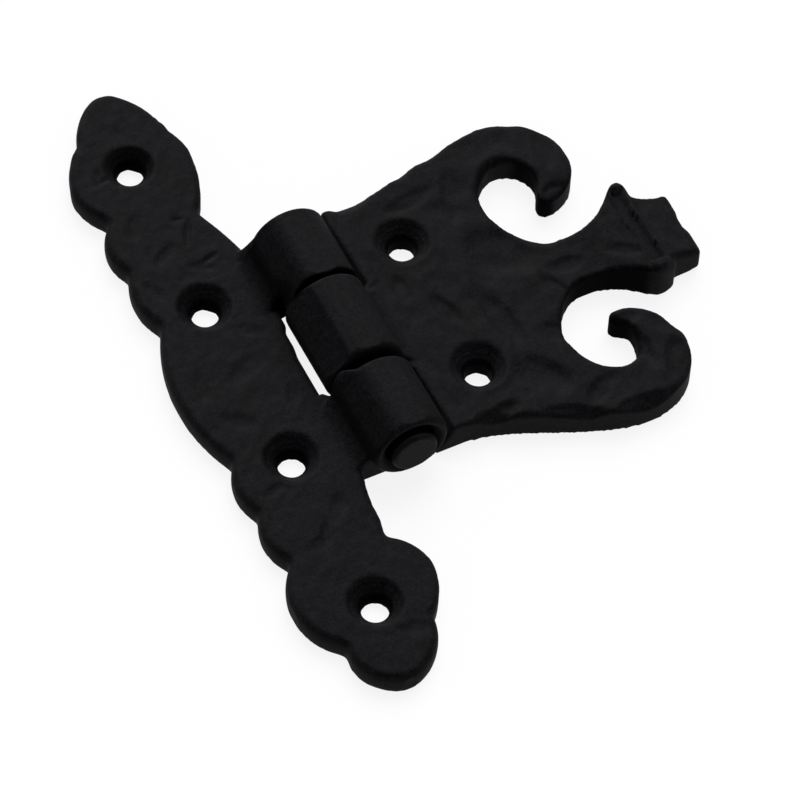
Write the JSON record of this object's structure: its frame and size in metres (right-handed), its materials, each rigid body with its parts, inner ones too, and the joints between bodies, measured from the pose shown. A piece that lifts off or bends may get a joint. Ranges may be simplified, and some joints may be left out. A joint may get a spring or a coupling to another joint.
{
  "type": "cabinet hinge",
  "caption": "Black wrought-style cabinet hinge: a long scalloped frame leaf and a door leaf with scroll horns and a ridged finial, turning on a plain pin.",
  "frame": {"origin": "middle of the frame leaf's inner screw pair, on the leaf's back face", "axes": "+X from the frame leaf to the door leaf, +Y along the pin and the long leaf, +Z out of the cabinet front"},
  "size_m": [0.0888, 0.1221, 0.0137],
  "materials": {
    "black_iron": "matte black coat over a lightly hammered casting",
    "pin_steel": "matte black coat, smoother at the ends"
  },
  "bodies": {
    "frame": {"frame_leaf": "black_iron", "hinge_pin": "pin_steel"},
    "door": {"door_leaf": "black_iron"}
  },
  "joints": [
    {"name": "pin_swing", "type": "hinge", "parent": "frame", "child": "door", "pos_m": [0.0168, 0, 0.0073], "axis": [0, -1, 0], "range_deg": [0, 180]}
  ]
}
